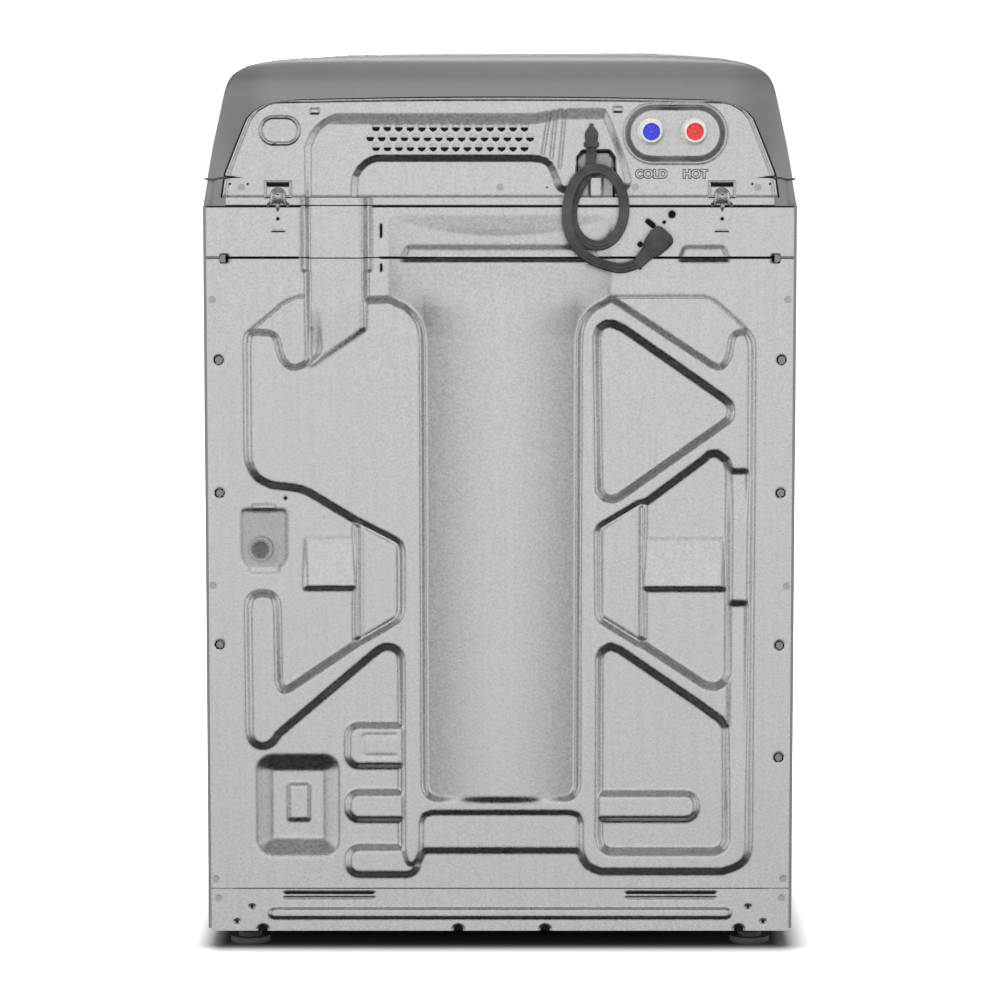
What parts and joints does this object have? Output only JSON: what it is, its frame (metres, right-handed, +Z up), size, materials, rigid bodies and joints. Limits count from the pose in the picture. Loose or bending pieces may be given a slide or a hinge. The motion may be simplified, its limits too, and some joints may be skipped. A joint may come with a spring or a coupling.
{
  "type": "top load washing machine",
  "caption": "Top-loading washing machine: steel cabinet with embossed rear panel, rear console, hinged glass lid, suspended tub with spin basket and agitator",
  "frame": {"origin": "floor point under the middle of the machine, feet fully screwed in", "axes": "+X to the right seen from the front, +Y to the rear, +Z up"},
  "size_m": [0.698, 0.7185, 1.067],
  "materials": {
    "grey_paint": "slate grey metallic enamel",
    "galvanised_steel": "hot-dip galvanised sheet",
    "dark_plastic": "fine texture",
    "display_glass": "smoked window",
    "lid_glass": "tempered glass",
    "circuit_board": "solder mask",
    "white_plastic": "moulded",
    "blue_plastic": "moulded",
    "red_plastic": "moulded",
    "grey_plastic": "moulded",
    "screw_steel": "zinc plated",
    "hose_rubber": "matt",
    "foot_rubber": "matt",
    "cast_aluminium": "as cast",
    "stainless_steel": "satin",
    "motor_black": "black enamel"
  },
  "bodies": {
    "cabinet": {"cabinet_wrap": "grey_paint", "rear_panel": "galvanised_steel", "rear_upper_panel": "galvanised_steel", "base_rear_rail": "galvanised_steel", "base_front_rail": "galvanised_steel", "foot_brackets": "galvanised_steel", "top_deck": "grey_paint", "detergent_cup": "white_plastic", "console_housing": "grey_paint", "console_fascia": "dark_plastic", "display_window": "display_glass", "control_board": "circuit_board", "console_rear_panel": "galvanised_steel", "water_valve": "white_plastic", "cold_inlet": "white_plastic", "hot_inlet": "white_plastic", "cold_screen": "blue_plastic", "hot_screen": "red_plastic", "fill_hose": "hose_rubber", "fill_spout": "white_plastic", "strain_relief": "dark_plastic", "hold_down_clips": "galvanised_steel", "rear_screws": "screw_steel", "drain_port": "grey_plastic", "power_cord": "dark_plastic", "power_plug": "dark_plastic", "hinge_brackets": "galvanised_steel", "hinge_pins": "screw_steel", "lid_lock": "dark_plastic", "suspension_corners": "galvanised_steel", "suspension_rods": "screw_steel", "suspension_springs": "screw_steel"},
    "lid": {"lid_frame": "grey_paint", "lid_glass": "lid_glass"},
    "cycle_knob": {"cycle_knob": "dark_plastic"},
    "temperature_knob": {"temperature_knob": "dark_plastic"},
    "start_button": {"start_button": "white_plastic"},
    "lock_bolt": {"lock_bolt": "screw_steel"},
    "tub": {"outer_tub": "white_plastic", "tub_bearings": "screw_steel", "tub_seal": "hose_rubber", "tub_ring": "white_plastic", "drive_plate": "galvanised_steel", "drive_motor": "motor_black", "drive_belt": "hose_rubber", "drain_pump": "white_plastic", "drain_hose": "hose_rubber"},
    "basket": {"basket": "stainless_steel", "balance_ring": "grey_plastic", "basket_hub": "cast_aluminium"},
    "agitator": {"agitator": "grey_plastic", "agitator_cap": "grey_plastic", "drive_shaft": "screw_steel", "driven_pulley": "cast_aluminium"},
    "motor_pulley": {"motor_pulley": "cast_aluminium"},
    "pump_impeller": {"pump_impeller": "white_plastic"},
    "foot_front_left": {"foot_front_left": "foot_rubber"},
    "foot_front_right": {"foot_front_right": "foot_rubber"},
    "foot_rear_left": {"foot_rear_left": "foot_rubber"},
    "foot_rear_right": {"foot_rear_right": "foot_rubber"}
  },
  "joints": [
    {"name": "lid_hinge", "type": "hinge", "parent": "cabinet", "child": "lid", "pos_m": [0, 0.14, 0.932], "axis": [-1, 0, 0], "range_deg": [0, 95]},
    {"name": "cycle_knob_turn", "type": "hinge", "parent": "cabinet", "child": "cycle_knob", "pos_m": [0.13, 0.203, 1.0015], "axis": [0, -0.8366, 0.5478], "continuous": true},
    {"name": "temperature_knob_turn", "type": "hinge", "parent": "cabinet", "child": "temperature_knob", "pos_m": [-0.16, 0.203, 1.0015], "axis": [0, -0.8366, 0.5478], "range_deg": [-120, 120]},
    {"name": "start_button_press", "type": "slide", "parent": "cabinet", "child": "start_button", "axis": [0, 0.8366, -0.5478], "range_m": [0, 0.0025], "stiffness_N_per_m": 400, "springref_m": -0.002},
    {"name": "lock_bolt_slide", "type": "slide", "parent": "cabinet", "child": "lock_bolt", "axis": [0, -1, 0], "range_m": [0, 0.01]},
    {"name": "tub_bounce", "type": "slide", "parent": "cabinet", "child": "tub", "axis": [0, 0, 1], "range_m": [-0.02, 0.008], "stiffness_N_per_m": 12000, "springref_m": 0.03603, "deforming": ["suspension_springs", "drain_hose"]},
    {"name": "basket_spin", "type": "hinge", "parent": "tub", "child": "basket", "pos_m": [0, -0.01, 0.4], "axis": [0, 0, 1], "continuous": true},
    {"name": "agitator_turn", "type": "hinge", "parent": "tub", "child": "agitator", "pos_m": [0, -0.01, 0.4], "axis": [0, 0, 1], "continuous": true},
    {"name": "motor_turn", "type": "hinge", "parent": "tub", "child": "motor_pulley", "pos_m": [-0.15, -0.01, 0.234], "axis": [0, 0, 1], "continuous": true},
    {"name": "pump_turn", "type": "hinge", "parent": "tub", "child": "pump_impeller", "pos_m": [0.17, -0.01, 0.22], "axis": [0, 0, 1], "continuous": true},
    {"name": "foot_front_left_adjust", "type": "slide", "parent": "cabinet", "child": "foot_front_left", "axis": [0, 0, 1], "range_m": [-0.02, 0]},
    {"name": "foot_front_right_adjust", "type": "slide", "parent": "cabinet", "child": "foot_front_right", "axis": [0, 0, 1], "range_m": [-0.02, 0]},
    {"name": "foot_rear_left_adjust", "type": "slide", "parent": "cabinet", "child": "foot_rear_left", "axis": [0, 0, 1], "range_m": [-0.02, 0]},
    {"name": "foot_rear_right_adjust", "type": "slide", "parent": "cabinet", "child": "foot_rear_right", "axis": [0, 0, 1], "range_m": [-0.02, 0]}
  ],
  "couplings": [
    {"joint": "motor_turn", "follows": "agitator_turn", "ratio": 6}
  ]
}
